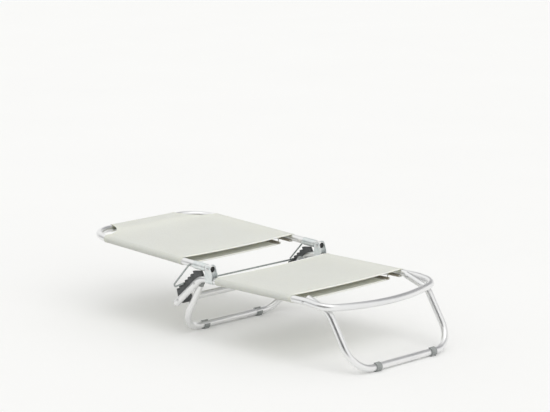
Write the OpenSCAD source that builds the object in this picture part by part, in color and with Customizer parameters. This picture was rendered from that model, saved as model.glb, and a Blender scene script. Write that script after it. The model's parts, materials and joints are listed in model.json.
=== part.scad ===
// Folding beach chair: a low lounger of bent aluminium tube with two taut fabric slings,
// a backrest propped by a wire strut in a toothed rack, and two folding leg loops.
// X runs across the chair, Y from foot to head, Z up. The origin is on the floor,
// under the middle of the chair.

/* [Tube] */
// Outside diameter of the frame tubes
tube_d = 25; // [23:0.5:27]
// Wall of the frame tubes
tube_wall = 1.5; // [1:0.1:2]
// Distance between the centre lines of the two seat rails
rail_gauge = 560; // [500:10:620]
// Gap between a seat rail and the leg beside it
leg_gap = 2; // [1.6:0.1:3]

/* [Seat frame] */
// Height of the seat rails' centre line above the floor
rail_h = 231.7; // [220:1:260]
// Distance along the seat from the hinge pin to the centre of the foot bow
toe_run = 613; // [600:1:640]
// Distance from the place where the rails start to dip to the centre of the foot bow
toe_reach = 136; // [131:1:138]
// Slope of the foot bow's plane, in degrees
toe_slope = 6.3; // [5.5:0.1:7]
// Bend radius where the rails start to dip
toe_bend_r = 150; // [120:5:160]
// Angle between the end of the foot bow and the cross direction
bow_angle = 19.6; // [18:0.1:21]
// Bend radius of the two foot corners
bow_corner_r = 65; // [60:1:70]
// Straight stretch between a foot corner and the bow
bow_land = 2; // [1:0.5:4]
// Distance from the hinge pin to the bend that starts the tail
tail_bend_run = 47; // [45:0.5:50]
// Slope of the tails, in degrees
tail_slope = 41.4; // [40:0.1:43]
// Bend radius at the start of the tails
tail_bend_r = 70; // [60:1:75]
// Length of a tail from its bend's corner to its end
tail_len = 171; // [168:1:185]

/* [Rear crossbar] */
// Distance along the tail from its bend's corner to the crossbar
crossbar_run = 146.5; // [145:0.5:148]
// Outside diameter of the crossbar's end sockets
socket_d = 30; // [29:0.5:33]
// Length of an end socket
socket_len = 37; // [30:1:45]
// Thickness of a socket's end wall
socket_end = 3; // [2:0.5:5]
// Diameter of the plug that fills the crossbar's end
socket_plug_d = 21.4; // [18:0.2:21.6]

/* [Fasteners] */
// Diameter of the rivets, screws and pins that go through a tube
rivet_d = 6; // [5:0.5:7]
// Diameter of a rivet's head
rivet_head_d = 11; // [10:0.5:13]
// Height of a rivet's head
rivet_head_h = 2.2; // [1.5:0.1:3]
// Diameter of the small rivets and screws
small_d = 4; // [3:0.5:5]
// Diameter of a small rivet's head
small_head_d = 8; // [7:0.5:9]
// Height of a small rivet's head
small_head_h = 1.2; // [1:0.1:2]
// Diameter of a leg washer
washer_d = 18; // [14:1:20]
// Radial clearance of a pin or rivet in its hole
pin_play = 0.05; // [0.02:0.01:0.08]
// Gap between pieces that lie against each other
seat_gap = 0.3; // [0.2:0.05:0.4]

/* [Hinge] */
// Height of the hinge pin above the seat rails' centre line
hinge_rise = 40.3; // [39:0.1:43]
// Diameter of the hinge pin
hinge_pin_d = 8; // [7:0.5:9]
// Diameter of the hinge pin's head
hinge_head_d = 14; // [12:0.5:16]
// Thickness of the hinge bracket's sheet
plate_t = 2; // [1.5:0.1:2.5]
// Radius of the bracket's round upper end
bracket_end_r = 13.5; // [12.5:0.5:14.5]
// Distance from the hinge pin to the strap's foot edge
strap_run = 21.5; // [20:0.5:25]
// Height of the strap's foot corner above the rails' centre line
strap_rise = 21; // [16:0.5:22]

/* [Backrest] */
// Distance along the backrest from the hinge pin to the head bar's centre line
back_len = 654.7; // [640:1:690]
// Tilt of the backrest as it stands, in degrees
back_tilt = 2.9; // [2.5:0.1:3]
// Length of the backrest tube beyond the hinge pin
back_tail = 11; // [10:0.5:12]
// Bend radius of the two head corners
head_corner_r = 110; // [90:5:130]
// Distance from the hinge pin to the reinforcing sleeve
sleeve_start = 18; // [17:0.5:22]
// Length of the reinforcing sleeve
sleeve_len = 59; // [50:1:62]
// Outside diameter of the reinforcing sleeve
sleeve_d = 28; // [27.4:0.1:28.4]
// Distance from the hinge pin to the strut's hole
strut_run = 89; // [88:0.5:90]

/* [Strut] */
// Diameter of the strut wire
wire_d = 6; // [5:0.5:6]
// Gap between a strut arm and the backrest's sleeve beside it
strut_side_gap = 1; // [0.5:0.5:4]
// Distance from the strut's pivot to its lower corner
strut_arm = 141.4; // [138:0.2:144]
// Angle at the pivot between the cross rod and the lower corner
strut_lead = 17.2; // [16.4:0.2:18]
// Bend radius of the strut at its pivot
strut_top_r = 5; // [4:0.5:5]
// Bend radius of the strut's lower corners
strut_corner_r = 6; // [5.5:0.5:6.5]
// Length of the strut's end cap
cap_len = 7; // [6:0.5:9]
// Outside diameter of the strut's end cap
cap_d = 11; // [10:0.5:13]

/* [Rack] */
// Thickness of the toothed rack
rack_w = 12; // [10:0.5:14]
// Number of notches in the rack
notches = 6; // [5:1:6]
// Notch that holds the strut as it stands, counted from the hinge
strut_notch = 4; // [4:1:4]
// Distance between two notches
notch_pitch = 19.6; // [19:0.1:20]
// Distance along the tail from its bend's corner to the first notch
first_notch = 21.2; // [20.5:0.1:22]
// Height of a notch's seat above the tail's centre line
notch_rise = 28.5; // [28:0.1:29]
// Height of the teeth above the tail's centre line
tooth_rise = 36; // [35:0.1:36.5]
// Clearance round the strut's rod in a notch
notch_play = 0.4; // [0.35:0.05:0.5]
// Angle from the tail to a notch's far flank
far_flank = 65; // [64:0.5:66]
// Angle from the tail to a notch's near flank
near_flank = 107.4; // [106:0.5:109]
// Length of the rack's heel along the rail, before the bend's corner
heel_run = 9; // [7:0.5:12]
// Height of the rack's heel above the rails' centre line
heel_rise = 26; // [24:0.5:26]
// Distance from the bend's corner to the top of the heel's slant
heel_slant = 1; // [0:0.5:3]
// Length of the rack's brow past the bend's corner
brow_run = 42; // [40:0.5:44]
// Height of the rack's brow above the rails' centre line
brow_rise = 20; // [18:0.5:21]
// Distance from the last notch to the rack's last tooth
last_tooth_run = 10; // [9:0.5:12]
// Distance from the last notch to the rack's end
rack_end_run = 22; // [20:0.5:24]

/* [Front leg] */
// Distance from the front leg's pivot to the place where the rails start to dip
pivot_to_toe = 16; // [15:0.5:19]
// Length of the front leg's arm beyond its pivot
front_arm_over = 13; // [12:0.5:16]
// Slope of the front leg's arm, in degrees
front_arm_slope = 18.6; // [18.4:0.1:20]
// Length of the arm from its pivot to the knee's corner
knee_run = 93.3; // [91:0.1:94]
// Bend radius of the knee
knee_r = 60; // [56:1:62]
// Angle of the front leg from upright
front_rake = 32.2; // [31:0.1:33]
// Bend radius of the leg loops' floor corners
floor_corner_r = 90; // [80:1:100]

/* [Rear leg] */
// Distance along the tail from its bend's corner to the rear leg's pivot
rear_pivot_run = 33; // [32:0.5:36]
// Angle of the rear leg from upright
rear_rake = 28.7; // [27.5:0.1:29]
// Distance from the rear leg's pivot to the start of its tube
knuckle_len = 15; // [14:0.5:20]
// Length of the knuckle's plug inside the tube
knuckle_plug = 25; // [20:1:35]
// Height of the knuckle's straight sides above its pivot
knuckle_rise = 4; // [4:0.5:5]
// Height of the knuckle's domed top
knuckle_dome = 8; // [6:0.5:9]

/* [Feet] */
// Thickness of the pad under each foot
pad_t = 3; // [2:0.5:5]
// Width of a foot along its bar
foot_w = 25; // [20:1:30]
// Half of the pad's depth
pad_half = 9; // [8:0.5:10]
// Distance from the middle of the chair to a front foot
front_foot_x = 142; // [120:1:150]
// Distance from the middle of the chair to a rear foot
rear_foot_x = 136; // [120:1:150]
// Opening of a foot's clip, in degrees
clip_opening = 60; // [40:5:90]

/* [Slings] */
// Thickness of the sling fabric in its wrapped form
sling_t = 1.5; // [1:0.1:1.6]
// Distance from the hinge pin to the seat sling's edge
seat_sling_start = 36; // [34:1:60]
// Distance from the seat sling's foot edge to the front leg's pivot
sling_to_pivot = 56; // [53:1:75]
// Distance from the hinge pin to the backrest sling's edge
back_sling_start = 137; // [135:1:150]
// Distance by which the backrest sling's sleeves run past the start of the head corners
corner_over = 2.3; // [0:0.1:3]
// Half of the length of the sleeve on the head bar
head_sleeve_half = 160; // [140:1:165]
// Radius of the cut-outs at the head corners
bite_r = 130; // [125:1:200]
// Distance from the far rail to the near flap's hem, under the sling
near_hem_run = 67; // [60:1:90]
// Distance from the far rail to the far flap's hem
far_hem_run = 14; // [13.5:0.5:16]
// Diameter of the rod in a hem
hem_rod_d = 6; // [4:0.5:6]
// Thickness of the fabric round a hem rod
hem_wall = 1; // [0.8:0.1:1.2]
// Diameter of the elastic lacing
lace_d = 3.5; // [2.5:0.5:4]
// Number of spans in the lacing
lace_spans = 10; // [6:2:14]
// Distance from a sling's edge to the end of its lacing
lace_inset = 15; // [10:1:30]

/* [Hidden] */
$fn = 48;
// Overrun of a cut past the face that it opens
cut_over = 1;
// Gap between a plug and the tube that it closes
plug_gap = 0.1;
// Length of a tube plug inside its tube
plug_len = 14;
// Thickness of a tail plug's flange
plug_flange = 2.5;
// Depth to which the backrest's plugs are recessed
plug_recess = 1.5;
// Thickness of a recessed plug
recessed_plug_t = 4.5;
// Bend radius where the lacing turns at a hem
lace_bend_r = 3;
// Distance along the tail from its bend's corner to the two rack screws
rack_screw_runs = [50.6, 109.4];
// Height of a rack screw's tip above the tail's centre line
rack_screw_tip = 22;
// Wall round the strut's end in its cap
cap_floor = 1.6;
// Half of the length of the band that joins a bend to a straight
seam_half = 0.1;
// Height of that band above the tube
seam_rise = 0.05;
// Gap between a bend and a straight under their band
seam_gap = 0.02;

tube_r = tube_d / 2;
wire_r = wire_d / 2;
rail_x = rail_gauge / 2;
leg_x = rail_x - tube_d - leg_gap;
strut_x = rail_x + sleeve_d / 2 + strut_side_gap + wire_r;
bar_z = tube_r + pad_t;
sling_in = tube_r + seat_gap;
sling_out = sling_in + sling_t;
foot_r = tube_r + pad_t;
toe_bend_run = toe_run - toe_reach;
front_pivot_run = toe_bend_run - pivot_to_toe;
seat_sling_len = front_pivot_run - seat_sling_start - sling_to_pivot;
back_sling_len = back_len - head_corner_r + corner_over - back_sling_start;

// Unit vector along v
function unit(v) = v / norm(v);
// Direction in the side view at an angle from +Y towards +Z
function heading(a) = [cos(a), sin(a)];
// A place in the side view, carried to the plane at x
function at_x(x, p) = [x, p[0], p[1]];

// Places in the side view, as [y, z]
front_drop = rail_h - knee_run * sin(front_arm_slope) - bar_z;
front_bar_run = front_pivot_run + knee_run * cos(front_arm_slope) + front_drop * tan(front_rake);
foot_reach = front_bar_run + foot_r;
head_reach = back_len * cos(back_tilt) + sling_out;
pin = [(foot_reach - head_reach) / 2, rail_h + hinge_rise];
tail_corner = [pin[0] + tail_bend_run, rail_h];
toe_bend = [pin[0] - toe_bend_run, rail_h];
front_pivot = [pin[0] - front_pivot_run, rail_h];
knee = front_pivot - knee_run * heading(front_arm_slope);
front_bar = [pin[0] - front_bar_run, bar_z];

// A place by its distance along the tail and its height above the tail's centre line
function tail_place(run, rise) =
    tail_corner + run * heading(-tail_slope) + rise * heading(90 - tail_slope);
// A place by its distance along the backrest and its height above the tube's centre line
function back_place(run, rise) = pin + run * heading(back_tilt) + rise * heading(90 + back_tilt);
tail_end = tail_place(tail_len, 0);
crossbar = tail_place(crossbar_run, 0);
rear_pivot = tail_place(rear_pivot_run, 0);
rear_heading = heading(rear_rake - 90);
rear_bar = rear_pivot + rear_heading * (rear_pivot[1] - bar_z) / cos(rear_rake);

// The foot bow lies in a sloping plane: distances run along the slope from the toe bend
rail_to_bow = rail_x * tan(bow_angle);
bow_turn = 90 - bow_angle;
bow_r = (rail_x / cos(bow_angle) - bow_corner_r * tan(bow_turn / 2) - bow_land) / tan(bow_angle);
bow_sagitta = bow_r * (1 / cos(bow_angle) - 1);
toe_len = (toe_run - toe_bend_run) / cos(toe_slope);
foot_corner_run = toe_len - rail_to_bow + bow_sagitta;
function toe_place(x, run) = at_x(x, toe_bend - run * heading(toe_slope));

// The strut pivots in the backrest tube and its rod lies in a notch
function notch_place(i) = tail_place(first_notch + (i - 1) * notch_pitch, notch_rise);
strut_pivot = back_place(strut_run, 0);
strut_rod = notch_place(strut_notch);
rod_arm = strut_rod - strut_pivot;
strut_corner = strut_pivot + strut_arm * heading(atan2(rod_arm[1], rod_arm[0]) + strut_lead);

// Outer end of a crossbar socket, and the ends of the leg rivets' shanks
socket_x = rail_x - tube_r - seat_gap;
rivet_in = leg_x - tube_r - seat_gap;
rivet_out = rail_x + tube_r;
// Direction in which a foot's clip opens, in degrees from +Y towards +Z
front_foot_opening = 45;
rear_foot_opening = 135;

// Paths of the bent tubes, as corner points with the bend radius at each
seat_path = [
    at_x(rail_x, tail_end), at_x(rail_x, tail_corner), at_x(rail_x, toe_bend),
    toe_place(rail_x, foot_corner_run), toe_place(0, foot_corner_run + rail_to_bow),
    toe_place(-rail_x, foot_corner_run), at_x(-rail_x, toe_bend),
    at_x(-rail_x, tail_corner), at_x(-rail_x, tail_end)
];
seat_bends = [tail_bend_r, toe_bend_r, bow_corner_r, bow_r, bow_corner_r, toe_bend_r, tail_bend_r];
back_path = [
    at_x(rail_x, back_place(-back_tail, 0)), at_x(rail_x, back_place(back_len, 0)),
    at_x(-rail_x, back_place(back_len, 0)), at_x(-rail_x, back_place(-back_tail, 0))
];
front_arm_end = front_pivot + front_arm_over * heading(front_arm_slope);
front_path = [
    at_x(leg_x, front_arm_end), at_x(leg_x, knee), at_x(leg_x, front_bar),
    at_x(-leg_x, front_bar), at_x(-leg_x, knee), at_x(-leg_x, front_arm_end)
];
rear_tube_start = rear_pivot + knuckle_len * rear_heading;
rear_path = [
    at_x(leg_x, rear_tube_start), at_x(leg_x, rear_bar),
    at_x(-leg_x, rear_bar), at_x(-leg_x, rear_tube_start)
];
cap_x = rail_x - tube_r - 2 * seat_gap;
wire_end_x = cap_x - cap_len + cap_floor;
wire_path = [
    at_x(wire_end_x, strut_pivot), at_x(strut_x, strut_pivot), at_x(strut_x, strut_corner),
    at_x(strut_x, strut_rod), at_x(-strut_x, strut_rod), at_x(-strut_x, strut_corner),
    at_x(-strut_x, strut_pivot), at_x(-wire_end_x, strut_pivot)
];
wire_bends = [strut_top_r, strut_corner_r, strut_corner_r, strut_corner_r, strut_corner_r, strut_top_r];

// Hems under a sling, measured from the middle of the chair and from the rails' centre line
hem_r = hem_rod_d / 2 + pin_play + hem_wall;
near_hem_x = rail_x - near_hem_run;
far_hem_x = rail_x - far_hem_run;
hem_drop = sling_out - hem_r;

// A cut-out's arc runs from the end of a rail's sleeve to the end of the head bar's sleeve
sleeve_top = back_sling_start + back_sling_len;
bite_chord = [head_sleeve_half - rail_x, back_len - sleeve_top];
bite_centre = [rail_x, sleeve_top] + bite_chord / 2
    + sqrt(bite_r * bite_r - bite_chord * bite_chord / 4) * unit([bite_chord[1], -bite_chord[0]]);

// Sweeping a section along a bent path
function square_to(v) = unit(cross(v, abs(v[2]) > abs(v[0]) ? [1, 0, 0] : [0, 0, 1]));
function turn(a, b, c) = acos(unit(b - a) * unit(c - b));
function setback(a, b, c, r) = r * tan(turn(a, b, c) / 2);

module on_axes(at, x_dir, y_dir, z_dir) {
    multmatrix([
        [x_dir[0], y_dir[0], z_dir[0], at[0]],
        [x_dir[1], y_dir[1], z_dir[1], at[1]],
        [x_dir[2], y_dir[2], z_dir[2], at[2]],
        [0, 0, 0, 1]
    ]) children();
}

// Round section of radius r, hollow when it has a wall
module round_section(r, wall) {
    difference() {
        circle(r = r);
        if (wall > 0) circle(r = r - wall);
    }
}

module straight(from, to, r, wall = 0) {
    z_dir = unit(to - from);
    x_dir = square_to(z_dir);
    on_axes(from, x_dir, cross(z_dir, x_dir), z_dir)
        linear_extrude(norm(to - from)) round_section(r, wall);
}

module bend(a, b, c, bend_r, r, wall) {
    y_dir = unit(b - a);
    z_dir = unit(cross(y_dir, c - b));
    inward = cross(z_dir, y_dir);
    start = b - y_dir * setback(a, b, c, bend_r);
    on_axes(start + inward * bend_r, -inward, y_dir, z_dir)
        rotate_extrude(angle = turn(a, b, c)) translate([bend_r, 0]) round_section(r, wall);
}

// A bent bar or tube. A hair-thin band round each seam joins a bend to the straight beside it.
module bent(path, radii, r, wall = 0) {
    last = len(path) - 1;
    band_wall = wall > 0 ? wall + 2 * seam_rise : 0;
    for (i = [1 : last - 1]) bend(path[i - 1], path[i], path[i + 1], radii[i - 1], r, wall);
    for (i = [0 : last - 1]) {
        dir = unit(path[i + 1] - path[i]);
        before = i == 0 ? 0 : setback(path[i - 1], path[i], path[i + 1], radii[i - 1]);
        after = i == last - 1 ? 0 : setback(path[i], path[i + 1], path[i + 2], radii[i]);
        from = path[i] + dir * before;
        to = path[i + 1] - dir * after;
        straight(
            i == 0 ? from : from + dir * seam_gap, i == last - 1 ? to : to - dir * seam_gap, r, wall
        );
        if (i > 0) straight(from - dir * seam_half, from + dir * seam_half, r + seam_rise, band_wall);
        if (i < last - 1) straight(to - dir * seam_half, to + dir * seam_half, r + seam_rise, band_wall);
    }
}

// Shared small shapes
module both_sides() {
    children();
    mirror([1, 0, 0]) children();
}

// A cylinder along X from x0 to x1, at a place in the side view
module cross_rod(p, x0, x1, d) {
    translate(at_x(x0, p)) rotate([0, 90, 0]) cylinder(h = x1 - x0, d = d);
}

// A side-view outline as a plate from x0 to x1
module side_plate(x0, x1) {
    translate([x0, 0, 0]) rotate([90, 0, 90]) linear_extrude(x1 - x0) children();
}

// A domed head standing on the XY plane
module button(d, h) {
    r = (d * d / 4 + h * h) / (2 * h);
    rotate_extrude() intersection() {
        translate([0, h - r]) circle(r = r);
        square([d / 2, h]);
    }
}

// A rivet along X with a domed head at each end
module cross_rivet(p, x0, x1, d, head_d, head_h) {
    cross_rod(p, x0, x1, d);
    translate(at_x(x1, p)) rotate([0, 90, 0]) button(head_d, head_h);
    translate(at_x(x0, p)) rotate([0, -90, 0]) button(head_d, head_h);
}

// Hole for a rivet or pin of diameter d
module rivet_hole(p, x0, x1, d) {
    cross_rod(p, x0 - cut_over, x1 + cut_over, d + 2 * pin_play);
}

// The rail on one side, as a solid bar, to hollow what sits on it
module rail_bar(play) {
    bent(
        [at_x(rail_x, tail_end), at_x(rail_x, tail_corner), at_x(rail_x, toe_bend)],
        [tail_bend_r], tube_r + play
    );
}

// Frame of the tail: X across, Y along the tail, Z up from its centre line
module on_tail(run) {
    translate(at_x(rail_x, tail_place(run, 0))) rotate([-tail_slope, 0, 0]) children();
}

// Frame of the backrest: Y along the tube, Z square to the sling
module on_back() {
    translate(at_x(0, pin)) rotate([back_tilt, 0, 0]) children();
}

// Seat frame
module seat_tube() color("silver") difference() {
    bent(seat_path, seat_bends, tube_r, tube_wall);
    both_sides() {
        for (p = [front_pivot, rear_pivot, crossbar])
            rivet_hole(p, rail_x - tube_r, rail_x + tube_r, rivet_d);
        for (run = rack_screw_runs) on_tail(run)
            translate([0, 0, -tube_r - cut_over])
                cylinder(h = tube_d + 2 * cut_over, d = small_d + 2 * pin_play);
        translate([rail_x, pin[0], rail_h - tube_r - cut_over])
            cylinder(h = tube_r, d = small_d + 2 * pin_play);
    }
}

module rear_crossbar() color("silver")
    straight(
        at_x(socket_end - socket_x, crossbar), at_x(socket_x - socket_end, crossbar), tube_r, tube_wall
    );

module crossbar_socket_left() color("dimgray") {
    bore_r = tube_r + plug_gap;
    mouth_x = socket_x - socket_len;
    difference() {
        cross_rod(crossbar, mouth_x, socket_x, socket_d);
        cross_rod(crossbar, mouth_x - cut_over, socket_x - socket_end, 2 * bore_r);
        rivet_hole(crossbar, mouth_x, socket_x, rivet_d);
    }
    difference() {
        cross_rod(crossbar, mouth_x + tube_r, socket_x - socket_end, socket_plug_d);
        cross_rod(crossbar, mouth_x, socket_x, rivet_d + 2 * pin_play);
    }
}
module crossbar_socket_right() mirror([1, 0, 0]) crossbar_socket_left();

module crossbar_screws() color("lightgray") both_sides() {
    cross_rod(crossbar, socket_x - socket_len + tube_d, rail_x + tube_r, rivet_d);
    translate(at_x(rail_x + tube_r, crossbar)) rotate([0, 90, 0]) button(rivet_head_d, rivet_head_h);
}

// A hinge bracket's side view, filled across: a round eye over a strap with a slanted foot
// edge. The strap's edges run a hair inside the eye's edge.
module bracket_block(half) {
    edge_r = bracket_end_r - seam_rise;
    shoulder = [-strap_run, strap_rise - hinge_rise];
    touch = atan2(shoulder[1], shoulder[0]) - acos(edge_r / norm(shoulder));
    bottom = -hinge_rise - half - cut_over;
    cross_rod(pin, rail_x - half, rail_x + half, 2 * bracket_end_r);
    side_plate(rail_x - half, rail_x + half) translate(pin) polygon([
        [-strap_run, bottom], shoulder, edge_r * heading(touch),
        [0, 0], [edge_r, 0], [edge_r, bottom]
    ]);
}

// End view of a hinge bracket, a deep U round the rail, with its sheet's inner face at r
module bracket_u(r) {
    intersection() {
        circle(r = r);
        translate([-2 * r, -2 * r]) square([4 * r, 2 * r]);
    }
    translate([-r, 0]) square([2 * r, hinge_rise + bracket_end_r + cut_over]);
}

module hinge_bracket_left() color("slategray") {
    inner = tube_r + seat_gap;
    half = inner + plate_t;
    difference() {
        intersection() {
            bracket_block(half);
            translate([rail_x, pin[0] + strap_run, rail_h]) rotate([90, 0, 0])
                linear_extrude(2 * strap_run + cut_over) difference() {
                    bracket_u(half);
                    bracket_u(inner);
                }
        }
        rivet_hole(pin, rail_x - half, rail_x + half, hinge_pin_d);
        translate([rail_x, pin[0], rail_h - half - cut_over])
            cylinder(h = tube_r, d = small_d + 2 * pin_play);
    }
}
module hinge_bracket_right() mirror([1, 0, 0]) hinge_bracket_left();

module bracket_rivets() color("lightgray") both_sides()
    translate([rail_x, pin[0], rail_h - tube_r - seat_gap - plate_t]) {
        cylinder(h = plate_t + seat_gap + 2 * tube_wall, d = small_d);
        rotate([180, 0, 0]) button(small_head_d, small_head_h);
    }

module hinge_pin_left() color("lightgray") {
    half = tube_r + seat_gap + plate_t;
    cross_rivet(pin, rail_x - half, rail_x + half, hinge_pin_d, hinge_head_d, rivet_head_h);
}
module hinge_pin_right() mirror([1, 0, 0]) hinge_pin_left();

// One notch of the rack: a round seat with two flanks that open away from the tail
module notch(i) {
    r = wire_r + notch_play;
    low = heading(far_flank - tail_slope);
    high = heading(near_flank - tail_slope);
    low_side = r * heading(far_flank - tail_slope - 90);
    high_side = r * heading(near_flank - tail_slope + 90);
    reach = 2 * tube_d;
    translate(notch_place(i)) {
        circle(r = r);
        polygon([
            [0, 0], low_side, low_side + reach * low, high_side + reach * high, high_side
        ]);
    }
}

module rack_left() color("dimgray") difference() {
    last_notch = first_notch + (notches - 1) * notch_pitch;
    side_plate(rail_x - rack_w / 2, rail_x + rack_w / 2) difference() {
        polygon([
            tail_corner + [-heel_run, 0],
            tail_corner + [-heel_run, tube_r],
            tail_corner + [-heel_slant, heel_rise],
            tail_corner + [brow_run, brow_rise],
            tail_place(first_notch + notch_pitch / 4, tooth_rise),
            tail_place(last_notch + last_tooth_run, tooth_rise),
            tail_place(last_notch + rack_end_run, tube_r),
            tail_place(last_notch + rack_end_run, 0),
            tail_corner
        ]);
        for (i = [1 : notches]) notch(i);
    }
    rail_bar(plug_gap);
    for (run = rack_screw_runs) on_tail(run)
        cylinder(h = rack_screw_tip + plug_gap, d = small_d + 2 * pin_play);
}
module rack_right() mirror([1, 0, 0]) rack_left();

module rack_screws() color("lightgray") both_sides()
    for (run = rack_screw_runs) on_tail(run) {
        translate([0, 0, -tube_r]) cylinder(h = tube_r + rack_screw_tip, d = small_d);
        translate([0, 0, -tube_r]) rotate([180, 0, 0]) button(small_head_d, small_head_h);
    }

// A plug in the open end of a tube that runs away along +Z
module end_plug(inside) {
    translate([0, 0, -plug_flange]) cylinder(h = plug_flange, d = tube_d);
    cylinder(h = inside, r = tube_r - tube_wall - plug_gap);
}

module tail_plugs() color("gainsboro") both_sides()
    translate(at_x(rail_x, tail_end)) rotate([90 - tail_slope, 0, 0]) end_plug(plug_len);

module front_leg_rivets() color("lightgray") both_sides()
    cross_rivet(front_pivot, rivet_in, rivet_out, rivet_d, rivet_head_d, rivet_head_h);
module rear_leg_rivets() color("lightgray") both_sides()
    cross_rivet(rear_pivot, rivet_in, rivet_out, rivet_d, rivet_head_d, rivet_head_h);

module leg_washers() color("whitesmoke") both_sides()
    for (p = [front_pivot, rear_pivot]) difference() {
        cross_rod(p, leg_x + tube_r + seat_gap, rail_x - tube_r - seat_gap, washer_d);
        rivet_hole(p, leg_x + tube_r, rail_x - tube_r, rivet_d);
    }

// Section of a sling across the chair, with the rails' centre lines at height 0
module sling_section() {
    difference() {
        union() {
            translate([-rail_x, sling_in]) square([rail_gauge, sling_t]);
            for (side = [-1, 1]) translate([side * rail_x, 0]) difference() {
                circle(r = sling_out);
                circle(r = sling_in);
                translate([side > 0 ? -sling_out : 0, -sling_out]) square([sling_out, 2 * sling_out]);
            }
            translate([-rail_x, -sling_out]) square([near_hem_x + rail_x, sling_t]);
            translate([far_hem_x, -sling_out]) square([far_hem_run, sling_t]);
            for (x = [near_hem_x, far_hem_x]) translate([x, -hem_drop]) circle(r = hem_r);
        }
        for (x = [near_hem_x, far_hem_x]) translate([x, -hem_drop])
            circle(d = hem_rod_d + 2 * pin_play);
    }
}

// Two hem rods, along Y from 0 to len at the rails' height
module hem_rod_pair(len) {
    for (x = [near_hem_x, far_hem_x])
        translate([x, 0, -hem_drop]) rotate([-90, 0, 0]) cylinder(h = len, d = hem_rod_d);
}

// A zigzag of elastic cord between the hems, in the same place as the rods
module lacing(len) {
    inset = hem_r + lace_d / 2 + seat_gap;
    span = (len - 2 * lace_inset) / lace_spans;
    points = [
        for (i = [0 : lace_spans])
            [i % 2 == 0 ? near_hem_x + inset : far_hem_x - inset, lace_inset + i * span, -hem_drop]
    ];
    bent(points, [for (i = [1 : lace_spans - 1]) lace_bend_r], lace_d / 2);
}

module on_seat() {
    translate([0, pin[0] - seat_sling_start - seat_sling_len, rail_h]) children();
}

module seat_sling() color("antiquewhite")
    on_seat() translate([0, seat_sling_len, 0]) rotate([90, 0, 0])
        linear_extrude(seat_sling_len) sling_section();
module seat_hem_rods() color("whitesmoke") on_seat() hem_rod_pair(seat_sling_len);
module seat_lacing() color("white") on_seat() lacing(seat_sling_len);

// Backrest
module backrest_tube() color("silver") difference() {
    bent(back_path, [head_corner_r, head_corner_r], tube_r, tube_wall);
    both_sides() {
        rivet_hole(pin, rail_x - tube_r, rail_x + tube_r, hinge_pin_d);
        rivet_hole(strut_pivot, rail_x - tube_r, rail_x + tube_r, wire_d);
    }
}

module backrest_sleeve_left() color("slategray")
    on_back() translate([rail_x, sleeve_start, 0]) rotate([-90, 0, 0]) difference() {
        cylinder(h = sleeve_len, d = sleeve_d);
        translate([0, 0, -cut_over]) cylinder(h = sleeve_len + 2 * cut_over, r = tube_r + pin_play);
    }
module backrest_sleeve_right() mirror([1, 0, 0]) backrest_sleeve_left();

module backrest_plugs() color("black") both_sides()
    on_back() translate([rail_x, plug_recess - back_tail, 0]) rotate([-90, 0, 0])
        cylinder(h = recessed_plug_t, r = tube_r - tube_wall - plug_gap);

module backrest_sling() color("antiquewhite") on_back() {
    translate([0, sleeve_top, 0]) rotate([90, 0, 0]) linear_extrude(back_sling_len) sling_section();
    translate([0, 0, sling_in]) linear_extrude(sling_t) difference() {
        translate([-rail_x, sleeve_top - tube_d])
            square([rail_gauge, back_len - sleeve_top + tube_d]);
        for (side = [-1, 1]) translate([side * bite_centre[0], bite_centre[1]]) circle(r = bite_r);
    }
    translate([-head_sleeve_half, back_len, 0]) rotate([0, 90, 0])
        linear_extrude(2 * head_sleeve_half) difference() {
            circle(r = sling_out);
            circle(r = sling_in);
        }
}
module backrest_hem_rods() color("whitesmoke")
    on_back() translate([0, back_sling_start, 0]) hem_rod_pair(back_sling_len);
module backrest_lacing() color("white")
    on_back() translate([0, back_sling_start, 0]) lacing(back_sling_len);

// Strut
module strut_wire() color("lightsteelblue") bent(wire_path, wire_bends, wire_r);

module strut_caps() color("dimgray") both_sides() difference() {
    cross_rod(strut_pivot, cap_x - cap_len, cap_x, cap_d);
    cross_rod(strut_pivot, wire_end_x, cap_x + cut_over, wire_d + 2 * pin_play);
}

// Front leg
module front_leg_tube() color("silver") difference() {
    bent(front_path, [knee_r, floor_corner_r, floor_corner_r, knee_r], tube_r, tube_wall);
    both_sides() rivet_hole(front_pivot, leg_x - tube_r, leg_x + tube_r, rivet_d);
}

module front_leg_plugs() color("dimgray") both_sides()
    translate(at_x(leg_x, front_arm_end)) rotate([90 + front_arm_slope, 0, 0]) {
        inside = front_arm_over - rivet_d;
        translate([0, 0, -plug_flange]) button_cap();
        cylinder(h = inside, r = tube_r - tube_wall - plug_gap);
    }

// A low domed cap as wide as the tube, its flat face at the flange's height
module button_cap() translate([0, 0, plug_flange]) rotate([180, 0, 0]) button(tube_d, plug_flange);

// A foot: a clip round the bar with a flat pad under it
module foot(x, bar, opening) side_plate(x - foot_w / 2, x + foot_w / 2) translate(bar) difference() {
    union() {
        circle(r = foot_r);
        translate([-pad_half, -bar_z]) square([2 * pad_half, bar_z]);
    }
    circle(r = tube_r + plug_gap);
    polygon([
        [0, 0], 2 * foot_r * heading(opening - clip_opening / 2),
        2 * foot_r * heading(opening + clip_opening / 2)
    ]);
}
module front_foot_left() color("gray") foot(front_foot_x, front_bar, front_foot_opening);
module front_foot_right() color("gray") mirror([1, 0, 0]) front_foot_left();

// Rear leg
module rear_leg_tube() color("silver")
    bent(rear_path, [floor_corner_r, floor_corner_r], tube_r, tube_wall);

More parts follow.
